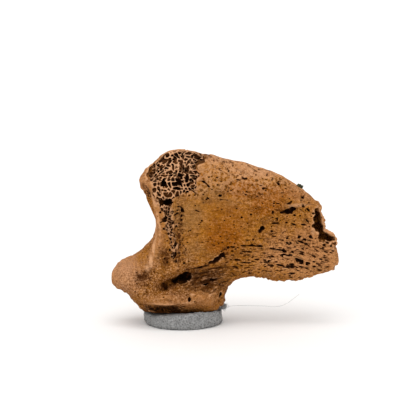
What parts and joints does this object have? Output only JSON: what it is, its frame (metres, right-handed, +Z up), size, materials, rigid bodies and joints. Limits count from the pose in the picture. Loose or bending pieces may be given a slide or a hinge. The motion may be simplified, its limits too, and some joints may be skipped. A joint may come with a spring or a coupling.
{
  "type": "fossil cave bear claw",
  "caption": "Fossil claw core of a cave bear with a broken, hollow tip and worn spongy bone, standing on a pad of putty for display.",
  "frame": {"origin": "middle of the putty pad's underside, on the surface it stands on", "axes": "+X along the claw from the joint end to the broken tip, +Z up, +Y across the claw's thickness"},
  "size_m": [0.0504, 0.0168, 0.039],
  "materials": {
    "fossil_bone": "dry satin, pitted",
    "putty": "matt, finely speckled"
  },
  "bodies": {
    "root": {"claw_core": "fossil_bone", "putty_pad": "putty"}
  },
  "joints": []
}
